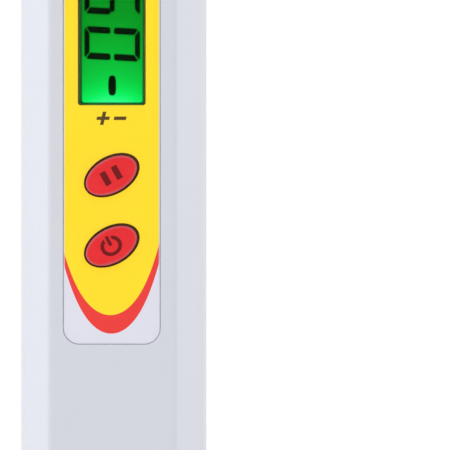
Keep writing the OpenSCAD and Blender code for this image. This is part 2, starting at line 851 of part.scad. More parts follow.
// Slotted tube that shields the glass and lets liquid through
module electrode_guard() color("gainsboro")
    difference() {
        tube(guard_r, guard_r - guard_wall, guard_z0, collar_z0 + guard_spigot);
        for (a = [0, 90])
            rotate([0, 0, a])
                block([-slot_w / 2, -guard_r - past, guard_z0 + slot_floor],
                      [slot_w / 2, guard_r + past, guard_z0 + slot_floor + slot_h]);
    }

// Closed glass tube with a round end
module glass_stem() color("azure", 0.5)
    difference() {
        rotate_extrude()
            difference() {
                union() {
                    translate([0, stem_z0 + stem_r]) circle(r = stem_r);
                    translate([0, stem_z0 + stem_r]) square([stem_r, stem_z1 - stem_z0 - stem_r]);
                }
                translate([0, stem_z0 + stem_r]) circle(r = stem_r - stem_wall);
                translate([0, stem_z0 + stem_r])
                    square([stem_r - stem_wall, stem_z1 - stem_z0 - stem_r + past]);
                translate([-2 * stem_r, 0]) square([2 * stem_r, stem_z1 + past]);
            }
        translate([0, 0, stem_z0 - past]) cylinder(r = pin_r, h = stem_wall + 2 * past);
        rod_y(0, stem_z0 + stem_r + 2, junction_r, -2 * stem_r, 0);
    }

// Platinum pin sealed through the round end, with its lead inside
module platinum_pin() color("lightgray")
    union() {
        translate([0, 0, stem_z0 - pin_out + pin_r]) cylinder(r = pin_r, h = pin_out + 2);
        translate([0, 0, stem_z0 - pin_out + pin_r]) sphere(r = pin_r);
        translate([0, 0, stem_z0 + 1]) cylinder(r = 0.25, h = stem_z1 - stem_z0 - 1);
    }

// Porous plug in the side of the glass
module reference_junction() color("white")
    rod_y(0, stem_z0 + stem_r + 2, junction_r, -stem_r - 0.1, -stem_r + stem_wall);

// Silver wire beside the platinum lead
module reference_wire() color("darkgray")
    translate([1.6, 0, stem_z0 + stem_r + 3]) cylinder(r = 0.4, h = stem_z1 - stem_z0 - stem_r - 3);

// Plug that closes the top of the glass and holds the cable
module electrode_head() color("slategray")
    difference() {
        union() {
            translate([0, 0, stem_z1]) cylinder(r = head_r, h = head_h);
            tube(head_r, stem_r + fit, stem_z1 - head_skirt, stem_z1 + fit);
        }
        translate([0, 0, stem_z1 + head_h - cable_in]) cylinder(r = cable_r, h = cable_in + past);
    }

// Screened cable from the electrode to the board
module electrode_cable() color("darkslategray")
    let (z = stem_z1 + head_h, y = board_back_y)
    wire(concat([[0, 0, z - cable_in], [0, 0, z]],
                bezier([[0, 0, z + 0.6], [0, 0.5, z + 6], [4, 1.5, z + 8], [4, y + 2, z + 8]], 16),
                [[4, y, z + 8]]), cable_r);

// ---------------------------------------------------------------- nodes

storage_cap();
front_shell();
rear_shell();
battery_door();
face_label();
display_window();
hold_key();
power_key();
hold_plunger();
power_plunger();
hold_switch();
power_switch();
lcd_bezel();
lcd_front_glass();
lcd_rear_glass();
lcd_connector_strip();
backlight_panel();
backlight_leds();
circuit_board();
chip_on_board();
smd_components();
trimmer_body();
trimmer_screw();
battery_left();
battery_right();
battery_springs();
bridge_contact();
positive_terminal();
negative_terminal();
battery_wires();
case_screws();
pcb_screws();
electrode_collar();
collar_seal();
electrode_bush();
electrode_guard();
glass_stem();
platinum_pin();
reference_junction();
reference_wire();
electrode_head();
electrode_cable();
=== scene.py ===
import json
import math

import bmesh
import bpy
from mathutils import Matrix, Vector

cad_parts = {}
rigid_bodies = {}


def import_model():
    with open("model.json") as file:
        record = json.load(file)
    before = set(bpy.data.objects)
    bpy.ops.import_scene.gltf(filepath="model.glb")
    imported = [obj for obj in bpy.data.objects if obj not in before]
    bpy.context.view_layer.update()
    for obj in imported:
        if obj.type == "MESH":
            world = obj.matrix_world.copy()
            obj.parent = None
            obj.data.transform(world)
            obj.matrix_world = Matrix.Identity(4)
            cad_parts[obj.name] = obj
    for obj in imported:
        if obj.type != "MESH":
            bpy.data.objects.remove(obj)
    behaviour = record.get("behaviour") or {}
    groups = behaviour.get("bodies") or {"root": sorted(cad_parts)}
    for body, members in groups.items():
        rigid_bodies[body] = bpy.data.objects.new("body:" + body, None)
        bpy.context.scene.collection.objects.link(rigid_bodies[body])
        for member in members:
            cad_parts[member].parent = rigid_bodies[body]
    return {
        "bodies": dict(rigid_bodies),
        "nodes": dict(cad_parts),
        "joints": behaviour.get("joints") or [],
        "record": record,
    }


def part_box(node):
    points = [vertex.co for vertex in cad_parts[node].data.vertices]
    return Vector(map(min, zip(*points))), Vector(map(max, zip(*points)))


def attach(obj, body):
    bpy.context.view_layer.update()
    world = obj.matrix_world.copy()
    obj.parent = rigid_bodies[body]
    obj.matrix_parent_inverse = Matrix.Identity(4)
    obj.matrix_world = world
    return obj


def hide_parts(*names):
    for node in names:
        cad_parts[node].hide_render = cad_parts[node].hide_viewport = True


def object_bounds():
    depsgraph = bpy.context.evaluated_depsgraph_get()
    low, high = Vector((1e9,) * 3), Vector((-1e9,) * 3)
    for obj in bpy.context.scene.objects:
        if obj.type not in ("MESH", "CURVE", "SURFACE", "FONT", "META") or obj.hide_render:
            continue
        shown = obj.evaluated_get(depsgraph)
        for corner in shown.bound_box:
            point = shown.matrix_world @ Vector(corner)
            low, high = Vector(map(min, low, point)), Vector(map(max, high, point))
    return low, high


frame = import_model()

CAD_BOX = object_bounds()
NODES = frame["nodes"]
MM = 0.001


# ------------------------------------------------------------------ node graphs

class Graph:
    """Short names for building a material's node tree."""

    def __init__(self, name):
        self.mat = bpy.data.materials.new(name)
        self.mat.use_nodes = True
        self.tree = self.mat.node_tree
        self.tree.nodes.clear()
        self.out = self.tree.nodes.new("ShaderNodeOutputMaterial")
        self.coords = None
        self.point = None

    def node(self, kind, **values):
        """A new node with its settings."""
        n = self.tree.nodes.new(kind)
        for key, value in values.items():
            setattr(n, key, value)
        return n

    def put(self, socket, value):
        """Links a socket to the input, or sets the input to a plain value."""
        if isinstance(value, bpy.types.NodeSocket):
            self.tree.links.new(value, socket)
        else:
            socket.default_value = value

    def math(self, op, a, b=None, c=None, clamp=False):
        """One sum on up to three sockets or numbers."""
        n = self.node("ShaderNodeMath", operation=op, use_clamp=clamp)
        for k, v in enumerate((a, b, c)):
            if v is not None:
                self.put(n.inputs[k], v)
        return n.outputs[0]

    def xyz(self):
        """Object coordinates in millimetres."""
        if self.coords is None:
            tex = self.node("ShaderNodeTexCoord")
            split = self.node("ShaderNodeSeparateXYZ")
            self.tree.links.new(tex.outputs["Object"], split.inputs[0])
            self.point = tex.outputs["Object"]
            self.coords = [self.math("MULTIPLY", split.outputs[k], 1000.0) for k in range(3)]
        return self.coords

    def place(self):
        """Object coordinates as one vector, in metres."""
        self.xyz()
        return self.point

    def scaled(self, x, y, z):
        """Object coordinates stretched along each axis."""
        n = self.node("ShaderNodeMapping")
        self.put(n.inputs["Vector"], self.place())
        n.inputs["Scale"].default_value = (x, y, z)
        return n.outputs[0]

    def noise(self, scale, detail=3.0, rough=0.5, vector=None):
        """Noise from 0 to 1. A scale of 1000 gives features about a millimetre across."""
        n = self.node("ShaderNodeTexNoise")
        self.put(n.inputs["Vector"], vector or self.place())
        n.inputs["Scale"].default_value = scale
        n.inputs["Detail"].default_value = detail
        n.inputs["Roughness"].default_value = rough
        return n.outputs["Fac"]

    def step(self, value, edge, soft):
        """0 below the edge and 1 above it, over a width of soft."""
        n = self.node("ShaderNodeMapRange", interpolation_type="SMOOTHSTEP")
        self.put(n.inputs["Value"], value)
        if isinstance(edge, bpy.types.NodeSocket):
            self.put(n.inputs["From Min"], self.math("SUBTRACT", edge, soft / 2))
            self.put(n.inputs["From Max"], self.math("ADD", edge, soft / 2))
        else:
            n.inputs["From Min"].default_value = edge - soft / 2
            n.inputs["From Max"].default_value = edge + soft / 2
        return n.outputs[0]

    def mapped(self, value, from_low, from_high, to_low, to_high):
        """Stretches one range onto another, held at its ends."""
        n = self.node("ShaderNodeMapRange")
        self.put(n.inputs["Value"], value)
        for k, v in enumerate((from_low, from_high, to_low, to_high)):
            n.inputs[1 + k].default_value = v
        return n.outputs[0]

    def mix(self, fac, a, b):
        """A colour between a and b."""
        n = self.node("ShaderNodeMix", data_type="RGBA")
        self.put(n.inputs["Factor"], fac)
        for socket, v in ((n.inputs["A"], a), (n.inputs["B"], b)):
            self.put(socket, v if isinstance(v, bpy.types.NodeSocket) else (*v[:3], 1.0))
        return n.outputs["Result"]

    def ramp(self, fac, stops):
        """A colour ramp through (position, colour) stops."""
        n = self.node("ShaderNodeValToRGB")
        self.put(n.inputs[0], fac)
        e = n.color_ramp.elements
        while len(e) < len(stops):
            e.new(0.5)
        for item, (pos, col) in zip(e, stops):
            item.position = pos
            item.color = (*col, 1.0)
        return n.outputs[0]

    def bump(self, height, distance, strength=1.0):
        """A normal tilted by a height from 0 to 1, over a distance in metres."""
        n = self.node("ShaderNodeBump")
        n.inputs["Strength"].default_value = strength
        n.inputs["Distance"].default_value = distance
        self.put(n.inputs["Height"], height)
        return n.outputs[0]

    def edges(self, radius, spread=0.12):
        """1 along the piece's edges and 0 on its faces."""
        bevel = self.node("ShaderNodeBevel", samples=6)
        bevel.inputs["Radius"].default_value = radius * MM
        dot = self.node("ShaderNodeVectorMath", operation="DOT_PRODUCT")
        self.put(dot.inputs[0], bevel.outputs[0])
        self.put(dot.inputs[1], self.node("ShaderNodeNewGeometry").outputs["Normal"])
        return self.mapped(self.math("SUBTRACT", 1.0, dot.outputs["Value"]), 0.0, spread, 0.0, 1.0)

    def scratches(self, scale=900.0):
        """Sparse hairlines in two directions."""
        lines = None
        for stretch in ((1.0, 1.0, 0.05), (0.08, 1.0, 0.5)):
            n = self.noise(scale, 2.0, 0.5, self.scaled(*stretch))
            off = self.math("ABSOLUTE", self.math("SUBTRACT", n, 0.5))
            line = self.mapped(off, 0.0, 0.006, 1.0, 0.0)
            lines = line if lines is None else self.math("MAXIMUM", lines, line)
        patches = self.mapped(self.noise(110.0, 2.0), 0.55, 0.7, 0.0, 1.0)
        return self.math("MULTIPLY", lines, patches)

    def surface(self, **values):
        """Finishes the material with one principled shader; underscores in names stand for spaces."""
        n = self.node("ShaderNodeBsdfPrincipled")
        for key, value in values.items():
            key = key.replace("_", " ")
            if isinstance(value, tuple) and len(value) == 3:
                value = (*value, 1.0)
            self.put(n.inputs[key], value)
        self.tree.links.new(n.outputs[0], self.out.inputs["Surface"])
        return self.mat


def srgb(r, g, b):
    """A linear colour from its display values, 0 to 255."""
    def lin(c):
        c /= 255.0
        return c / 12.92 if c <= 0.04045 else ((c + 0.055) / 1.055) ** 2.4
    return lin(r), lin(g), lin(b)


def shade(colour, k):
    """The colour made k times as bright."""
    return tuple(min(1.0, c * k) for c in colour)


def moulded(name, colour, rough=0.42, grain=0.010, drift=0.03, spec=0.5, wear=1.06):
    """Moulded plastic: fine spark-eroded grain, a slow drift in tone, hairlines and rubbed edges."""
    g = Graph(name)
    slow = g.noise(60.0, 2.0)
    fine = g.noise(5200.0, 2.0, 0.6)
    flow = g.noise(900.0, 3.0, 0.5, g.scaled(1.0, 1.0, 0.25))
    tone = g.math("MULTIPLY_ADD", flow, 0.35, g.math("MULTIPLY", slow, 0.65))
    worn = g.edges(0.35)
    hair = g.scratches()
    col = g.mix(g.mapped(tone, 0.3, 0.7, 0.0, 1.0), shade(colour, 1 - drift), shade(colour, 1 + drift))
    col = g.mix(g.math("MULTIPLY", worn, 0.7), col, shade(colour, wear))
    r = g.math("MULTIPLY_ADD", g.math("SUBTRACT", fine, 0.5), 0.12,
               g.mapped(slow, 0.3, 0.7, rough - 0.03, rough + 0.03))
    r = g.math("MULTIPLY_ADD", worn, -0.10, g.math("MULTIPLY_ADD", hair, 0.10, r))
    height = g.math("MULTIPLY_ADD", hair, -0.5, fine)
    return g.surface(Base_Color=col, Roughness=r, Specular_IOR_Level=spec,
                     Normal=g.bump(height, grain * MM, 0.6))


def metal(name, colour, rough=0.28, brushed=(1.0, 1.0, 0.06), tarnish=0.12):
    """Bare metal: brushed lines, blots of tarnish and brighter edges."""
    g = Graph(name)
    lines = g.noise(3800.0, 4.0, 0.6, g.scaled(*brushed))
    blot = g.noise(240.0, 4.0, 0.55)
    col = g.mix(g.mapped(blot, 0.45, 0.75, 0.0, 1.0), colour, shade(colour, 1 - tarnish))
    col = g.mix(g.edges(0.2), col, shade(colour, 1.15))
    r = g.mapped(lines, 0.25, 0.75, rough * 0.75, rough * 1.3)
    return g.surface(Base_Color=col, Metallic=1.0, Roughness=r, Normal=g.bump(lines, 0.004 * MM, 0.5))


def rubber(name, colour, rough=0.6):
    """Matt rubber with a fine grain and a little dust."""
    g = Graph(name)
    fine = g.noise(3000.0, 3.0, 0.7)
    dust = g.noise(300.0, 4.0, 0.6)
    col = g.mix(g.mapped(dust, 0.45, 0.8, 0.0, 1.0), colour, shade(colour, 1.6))
    return g.surface(Base_Color=col, Roughness=g.mapped(dust, 0.3, 0.7, rough, rough + 0.12),
                     Normal=g.bump(fine, 0.012 * MM, 0.6))


def clear(name, tint, ior, rough=0.0):
    """Clear glass or plastic with a faint haze."""
    g = Graph(name)
    haze = g.noise(400.0, 4.0, 0.6)
    return g.surface(Base_Color=g.mix(haze, tint, shade(tint, 0.985)),
                     Roughness=g.mapped(haze, 0.4, 0.8, rough, rough + 0.03),
                     Transmission_Weight=1.0, IOR=ior)


# ------------------------------------------------------------------ mesh helpers

def finish_piece(name, bm, mats, body, replaces=(), smooth=35.0):
    """Turns a built mesh into a piece, with every face turned outwards."""
    mesh = bpy.data.meshes.new(name)
    bmesh.ops.recalc_face_normals(bm, faces=bm.faces)
    bm.to_mesh(mesh)
    bm.free()
    return add_piece(name, mesh, mats, body, replaces, smooth)


def add_piece(name, mesh, mats, body, replaces=(), smooth=35.0):
    """Adds a piece that rides on a body and replaces its CAD nodes."""
    for m in mats if isinstance(mats, (list, tuple)) else [mats]:
        mesh.materials.append(m)
    obj = bpy.data.objects.new(name, mesh)
    bpy.context.collection.objects.link(obj)
    soften(mesh, smooth)
    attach(obj, body)
    for node in replaces:
        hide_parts(node)
    return obj


def soften(mesh, degrees):
    """Smooth shading, with edges sharper than this kept crisp."""
    mesh.shade_smooth()
    bm = bmesh.new()
    bm.from_mesh(mesh)
    limit = math.radians(degrees)
    for e in bm.edges:
        e.smooth = len(e.link_faces) == 2 and e.calc_face_angle(0.0) < limit
    bm.to_mesh(mesh)
    bm.free()


def circle_angles(n):
    """n angles spread evenly round a circle."""
    return [2 * math.pi * k / n for k in range(n)]


def arc_points(cx, cz, r, a0, a1, n):
    """n steps along an arc from the angle a0 to a1, in degrees."""
    angles = [math.radians(a0 + (a1 - a0) * k / n) for k in range(n + 1)]
    return [(cx + r * math.cos(a), cz + r * math.sin(a)) for a in angles]


def round_rect(x0, z0, x1, z1, r, n=10):
    """A rectangle with rounded corners."""
    return (arc_points(x0 + r, z0 + r, r, 180, 270, n) + arc_points(x1 - r, z0 + r, r, 270, 360, n)
            + arc_points(x1 - r, z1 - r, r, 0, 90, n) + arc_points(x0 + r, z1 - r, r, 90, 180, n))


def ellipse(cx, cz, a, b, tilt, n=96):
    """An oval with half-axes a and b, tilted by degrees."""
    c, s = math.cos(math.radians(tilt)), math.sin(math.radians(tilt))
    out = []
    for t in circle_angles(n):
        u, v = a * math.cos(t), b * math.sin(t)
        out.append((cx + u * c - v * s, cz + u * s + v * c))
    return out


def plate(name, loops, y_front, y_back, bevel, mats, body, replaces=(), smooth=35.0):
    """A flat plate in X and Z with holes, its edges rounded by bevel. Sizes in millimetres."""
    data = bpy.data.curves.new(name, "CURVE")
    data.dimensions = "2D"
    data.fill_mode = "BOTH"
    data.extrude = ((y_back - y_front) / 2 - bevel) * MM
    data.bevel_depth = bevel * MM
    data.bevel_resolution = 3
    data.offset = -bevel * MM
    for loop in loops:
        s = data.splines.new("POLY")
        s.points.add(len(loop) - 1)
        for p, (x, z) in zip(s.points, loop):
            p.co = (x * MM, z * MM, 0.0, 1.0)
        s.use_cyclic_u = True
    tmp = bpy.data.objects.new(name + "_curve", data)
    bpy.context.collection.objects.link(tmp)
    bpy.context.view_layer.update()
    depsgraph = bpy.context.evaluated_depsgraph_get()
    mesh = bpy.data.meshes.new_from_object(tmp.evaluated_get(depsgraph))
    bpy.data.objects.remove(tmp)
    bm = bmesh.new()
    bm.from_mesh(mesh)
    bmesh.ops.remove_doubles(bm, verts=bm.verts, dist=0.0005 * MM)
    middle = (y_front + y_back) / 2 * MM
    for v in bm.verts:
        x, z, y = v.co
        v.co = (x, middle - y, z)
    bmesh.ops.recalc_face_normals(bm, faces=bm.faces)
    bm.to_mesh(mesh)
    bm.free()
    mesh.name = name
    mesh.materials.clear()
    return add_piece(name, mesh, mats, body, replaces, smooth)


def skin(bm, layers, mat=0):
    """Faces between rings of vertices, one ring to the next; a ring of one vertex is a tip."""
    for a, b in zip(layers, layers[1:]):
        n = max(len(a), len(b))
        for k in range(n):
            j = (k + 1) % n
            if len(a) == 1:
                face = bm.faces.new((a[0], b[k], b[j]))
            elif len(b) == 1:
                face = bm.faces.new((a[k], a[j], b[0]))
            else:
                face = bm.faces.new((a[k], a[j], b[j], b[k]))
            face.material_index = mat


def lathe_into(bm, profile, centre, axis, n=48, mat=0):
    """Revolves (radius, along) points about an axis through centre, in millimetres."""
    axis = Vector(axis).normalized()
    side = axis.orthogonal().normalized()
    up = axis.cross(side)
    centre = Vector(centre)
    rings = []
    for r, h in profile:
        middle = centre + axis * h
        if r == 0:
            rings.append([bm.verts.new(middle * MM)])
        else:
            rings.append([bm.verts.new((middle + (side * math.cos(t) + up * math.sin(t)) * r) * MM)
                          for t in circle_angles(n)])
    skin(bm, rings, mat)


def near(node):
    """A node's box in millimetres."""
    low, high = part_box(node)
    return [v / MM for v in low], [v / MM for v in high]


def dress(node, mat, smooth=30.0, bevel=0.0):
    """Gives a CAD node its material and, where asked, softens edges sharper than smooth."""
    obj = NODES[node]
    obj.data.materials.clear()
    obj.data.materials.append(mat)
    weld = obj.modifiers.new("weld", "WELD")
    weld.merge_threshold = 0.0004 * MM
    if bevel:
        rounding = obj.modifiers.new("bevel", "BEVEL")
        rounding.limit_method = "ANGLE"
        rounding.angle_limit = math.radians(smooth)
        rounding.width = bevel * MM
        rounding.segments = 2
        rounding.use_clamp_overlap = True
        rounding.harden_normals = False
        rounding.miter_outer = "MITER_ARC"


# ------------------------------------------------------------------ measures from the frame

label_low, label_high = near("face_label")
window_low, window_high = near("display_window")
glass_low, glass_high = near("lcd_front_glass")
bezel_low, bezel_high = near("lcd_bezel")
hold_low, hold_high = near("hold_key")
power_low, power_high = near("power_key")

hold_z = (hold_low[2] + hold_high[2]) / 2
power_z = (power_low[2] + power_high[2]) / 2
face_y = near("front_shell")[0][1]

# the window's clear part, inside the flange that holds it behind the face
window_flange = 1.4
window_x = window_high[0] - window_flange
window_z0 = window_low[2] + window_flange
window_z1 = window_high[2] - window_flange


def tilted_oval(low, high, tilt):
    """The half-axes of an oval, from its box and its tilt."""
    c2, s2 = math.cos(math.radians(tilt)) ** 2, math.sin(math.radians(tilt)) ** 2
    x2, z2 = ((high[0] - low[0]) / 2) ** 2, ((high[2] - low[2]) / 2) ** 2
    return math.sqrt((x2 * c2 - z2 * s2) / (c2 - s2)), math.sqrt((z2 * c2 - x2 * s2) / (c2 - s2))


key_tilt = 29.0
key_gap = 0.45
key_flange = 1.0
key_a, key_b = (r - key_flange for r in tilted_oval(hold_low, hold_high, key_tilt))

# ------------------------------------------------------------------ materials

BODY = srgb(203, 205, 213)
mat_body = moulded("body_plastic", BODY, rough=0.45, grain=0.012, drift=0.012)
mat_cap = moulded("cap_plastic", BODY, rough=0.45, grain=0.012, drift=0.012)
mat_grey = moulded("grey_plastic", (0.30, 0.31, 0.33), rough=0.38)
mat_dark = moulded("dark_plastic", (0.020, 0.024, 0.018), rough=0.45)
mat_frame = moulded("olive_frame", (0.190, 0.135, 0.020), rough=0.6, drift=0.1, spec=0.1)
# painted light: the frame's chamfered mouth is painted green, standing in for the glow of the lit panel
# falling on it
mat_painted_glow = moulded("mouth_painted_glow", (0.010, 0.16, 0.030), rough=0.6, drift=0.1, spec=0.1)
mat_silver = metal("silver_wire", (0.55, 0.54, 0.52), 0.4)
mat_steel = metal("zinc_steel", (0.66, 0.66, 0.67), 0.3)
mat_nickel = metal("nickel_spring", (0.74, 0.72, 0.67), 0.2)
mat_brass = metal("brass_screw", (0.78, 0.57, 0.24), 0.25, (5.0, 5.0, 2.0))
mat_platinum = metal("platinum", (0.82, 0.80, 0.77), 0.12)
mat_black_rubber = rubber("black_rubber", (0.022, 0.022, 0.022), 0.55)
mat_stem = clear("stem_glass", (0.93, 0.98, 0.98), 1.47)
mat_window = clear("window_clear", (0.97, 0.99, 0.97), 1.09)
mat_white = moulded("porous_ceramic", (0.82, 0.82, 0.80), rough=0.8, grain=0.03)
mat_cable = moulded("cable_sheath", (0.04, 0.045, 0.05), rough=0.5)
mat_wire = moulded("wire_sheath", (0.45, 0.02, 0.02), rough=0.4)
mat_resin = moulded("resin_drop", (0.008, 0.008, 0.009), rough=0.22, grain=0.02)
mat_trimmer = moulded("trimmer_case", (0.02, 0.10, 0.50), rough=0.35)


def label_material():
    """Printed film: yellow above a red swoosh on a clear white ground, with plus and minus marks."""
    g = Graph("label_print")
    x, _, z = g.xyz()
    z0 = label_low[2]
    border_soft = 0.12

    def curve(rise, square, fourth, left):
        """The height of a border that sags to its lowest point a little left of the middle."""
        off = g.math("ADD", x, left)
        xx = g.math("MULTIPLY", off, off)
        xxxx = g.math("MULTIPLY", xx, xx)
        sag = g.math("MULTIPLY_ADD", xx, square, z0 + rise)
        return g.math("ADD", sag, g.math("MULTIPLY", xxxx, fourth))

    yellow_edge = curve(5.87, 0.1045, 0.00043, 0.28)
    red_edge = curve(2.07, 0.1155, 0.00039, 0.10)
    grain = g.noise(7000.0, 2.0, 0.6)
    slow = g.noise(120.0, 3.0, 0.5)
    wobble = g.math("MULTIPLY", g.math("SUBTRACT", grain, 0.5), 0.06)
    zw = g.math("ADD", z, wobble)
    in_red = g.step(zw, red_edge, border_soft)
    in_yellow = g.step(zw, yellow_edge, border_soft)
    uneven = g.math("MULTIPLY_ADD", grain, 0.4, g.math("MULTIPLY", slow, 0.6))
    blend = g.mapped(uneven, 0.35, 0.65, 0.0, 1.0)

    def tone(colour, k):
        """The colour, drifting by a share k each way."""
        return g.mix(blend, shade(colour, 1 - k), shade(colour, 1 + k))

    white = tone(srgb(216, 216, 227), 0.01)
    red = tone(srgb(230, 53, 48), 0.03)
    yellow = tone(srgb(247, 216, 27), 0.012)
    col = g.mix(in_yellow, g.mix(in_red, white, red), yellow)
    # near the film's left and right edges the colour fades most of the way to the white ground
    pale_sides = g.step(g.math("ABSOLUTE", x), label_high[0] - 0.22, 0.3)
    col = g.mix(g.math("MULTIPLY", pale_sides, 0.75), col, white)

    def bar(cx, cz, hx, hz):
        """A leaning bar: 1 inside."""
        lean = g.math("MULTIPLY", g.math("SUBTRACT", z, cz), 0.22)
        dx = g.math("ABSOLUTE", g.math("SUBTRACT", g.math("SUBTRACT", x, lean), cx))
        dz = g.math("ABSOLUTE", g.math("SUBTRACT", z, cz))
        d = g.math("MAXIMUM", g.math("SUBTRACT", dx, hx), g.math("SUBTRACT", dz, hz))
        return g.math("SUBTRACT", 1.0, g.step(d, 0.0, 0.14))

    mark_z = window_z0 - 2.65
    plus_x = -1.75
    minus_x = 1.7
    mark = g.math("MAXIMUM", bar(plus_x, mark_z, 0.36, 1.35), bar(plus_x, mark_z, 1.3, 0.34))
    mark = g.math("MAXIMUM", mark, bar(minus_x, mark_z, 1.25, 0.36))
    col = g.mix(mark, col, srgb(84, 56, 8))
    rough = g.mapped(grain, 0.3, 0.7, 0.30, 0.38)
    return g.surface(Base_Color=col, Roughness=rough, Specular_IOR_Level=0.3,
                     Normal=g.bump(g.noise(1500.0, 2.0), 0.004 * MM, 0.5))


def lcd_material():
    """Lit liquid-crystal glass: brightest by the lamps at its lower end, and a little dimmer at its sides."""
    g = Graph("lcd_lit")
    x, _, z = g.xyz()
    fade = g.math("MULTIPLY", g.math("MULTIPLY", x, x), 0.055)
    drift = g.math("MULTIPLY", g.math("SUBTRACT", g.noise(260.0, 2.0), 0.5), 0.8)
    height = g.math("ADD", g.math("ADD", z, fade), drift)
    along = g.mapped(height, window_z0, window_z1, 0.0, 1.0)
    glow = g.ramp(along, [
        (0.000, srgb(70, 255, 158)), (0.030, srgb(46, 253, 138)), (0.060, srgb(12, 248, 108)),
        (0.090, srgb(4, 236, 86)), (0.125, srgb(3, 222, 74)), (0.175, srgb(3, 205, 62)),
        (0.240, srgb(5, 190, 54)), (0.340, srgb(3, 177, 42)), (0.480, srgb(2, 156, 30)),
        (0.600, srgb(4, 146, 29)), (0.800, srgb(3, 138, 27)), (1.000, srgb(3, 134, 26))])
    weave = g.noise(9000.0, 1.0)
    glow = g.mix(g.mapped(weave, 0.3, 0.7, 0.0, 0.06), glow, (0.0, 0.1, 0.0))
    return g.surface(Base_Color=g.mix(weave, (0.0006, 0.010, 0.0015), (0.001, 0.014, 0.002)),
                     Roughness=g.mapped(weave, 0.3, 0.7, 0.3, 0.4), Specular_IOR_Level=0.0,
                     Emission_Color=glow, Emission_Strength=1.0)


def segment_material():
    """The dark green of a segment that is switched on."""
    g = Graph("lcd_segment")
    fine = g.noise(4000.0, 2.0)
    col = g.mix(fine, (0.0003, 0.006, 0.0006), (0.0010, 0.012, 0.0012))
    return g.surface(Base_Color=col, Roughness=g.mapped(fine, 0.3, 0.7, 0.45, 0.6),
                     Specular_IOR_Level=0.0)


def key_material():
    """Red silicone with an inked mark, a painted highlight along its rounded rim and painted shade in brown
    on the skirt behind the face; ink and rim are stored on the mesh.
    """
    g = Graph("key_rubber")

    def stored(name):
        return g.node("ShaderNodeAttribute", attribute_name=name, attribute_type="GEOMETRY").outputs["Fac"]

    ink = stored("ink")
    rim = stored("rim")
    fine = g.noise(5200.0, 3.0, 0.6)
    slow = g.noise(350.0, 2.0)
    red = g.mix(g.mapped(slow, 0.3, 0.7, 0.0, 1.0), srgb(220, 36, 42), srgb(226, 44, 48))
    col = g.mix(ink, red, srgb(112, 12, 18))
    # painted highlight: the rounded rim is painted pale pink in patches, standing in for light reflected off
    # it
    rim_highlight = g.math("MULTIPLY", rim, g.mapped(g.noise(700.0, 3.0), 0.3, 0.7, 0.4, 0.85))
    col = g.mix(rim_highlight, col, srgb(176, 98, 112))
    # painted shade: below the face the key's skirt, flange and stem are painted dark brown, standing in for
    # the shade in the gap round the key
    y = g.xyz()[1]
    gap_shade = g.step(y, face_y + 0.45, 0.5)
    col = g.mix(gap_shade, col, (0.26, 0.13, 0.06))
    return g.surface(Base_Color=col, Roughness=g.mapped(fine, 0.3, 0.7, 0.36, 0.46),
                     Specular_IOR_Level=0.16, Normal=g.bump(fine, 0.008 * MM, 0.5))


def board_material():
    """Green solder mask over straight copper tracks, with bare pads and small plated holes."""
    g = Graph("solder_mask")
    x, _, z = g.xyz()

    def tracks(across, along, pitch, run, share):
        """Parallel tracks a pitch apart, each present in some of its runs."""
        cell = g.node("ShaderNodeCombineXYZ")
        g.put(cell.inputs["X"], g.math("FLOOR", g.math("DIVIDE", across, pitch)))
        g.put(cell.inputs["Y"], g.math("FLOOR", g.math("DIVIDE", along, run)))
        chance = g.node("ShaderNodeTexWhiteNoise", noise_dimensions="2D")
        g.put(chance.inputs["Vector"], cell.outputs[0])
        place = g.math("FRACT", g.math("DIVIDE", across, pitch))
        off = g.math("MULTIPLY", g.math("ABSOLUTE", g.math("SUBTRACT", place, 0.5)), pitch)
        line = g.math("SUBTRACT", 1.0, g.step(off, 0.13, 0.05))
        return g.math("MULTIPLY", line, g.math("LESS_THAN", chance.outputs["Value"], share))

    track = g.math("MAXIMUM", tracks(x, z, 0.9, 5.4, 0.55), tracks(z, x, 1.8, 3.6, 0.40))
    dots = g.node("ShaderNodeTexVoronoi", feature="F1", voronoi_dimensions="3D")
    g.put(dots.inputs["Vector"], g.place())
    dots.inputs["Scale"].default_value = 260.0
    pad = g.math("SUBTRACT", 1.0, g.step(dots.outputs["Distance"], 0.10, 0.03))
    hole = g.math("SUBTRACT", 1.0, g.step(dots.outputs["Distance"], 0.045, 0.02))
    cloud = g.noise(300.0, 3.0)
    mask = g.mix(cloud, (0.006, 0.090, 0.030), (0.009, 0.125, 0.040))
    col = g.mix(track, mask, (0.020, 0.200, 0.070))
    col = g.mix(pad, col, (0.62, 0.60, 0.56))
    col = g.mix(hole, col, (0.01, 0.01, 0.01))
    return g.surface(Base_Color=col, Roughness=g.mapped(cloud, 0.3, 0.7, 0.28, 0.38),
                     Normal=g.bump(g.math("MAXIMUM", track, pad), 0.03 * MM, 0.7))


def stripe_material():
    """Conductive rubber: black and grey layers across a short strip."""
    g = Graph("striped_rubber")
    z = g.xyz()[2]
    layer_pitch = 0.18
    wave = g.math("SINE", g.math("MULTIPLY", z, 2 * math.pi / layer_pitch))
    fine = g.noise(3000.0, 3.0, 0.7)
    col = g.mix(g.step(wave, 0.0, 0.6), (0.018, 0.018, 0.020), (0.11, 0.11, 0.12))
    return g.surface(Base_Color=col, Roughness=g.mapped(fine, 0.3, 0.7, 0.5, 0.65),
                     Normal=g.bump(fine, 0.01 * MM, 0.5))


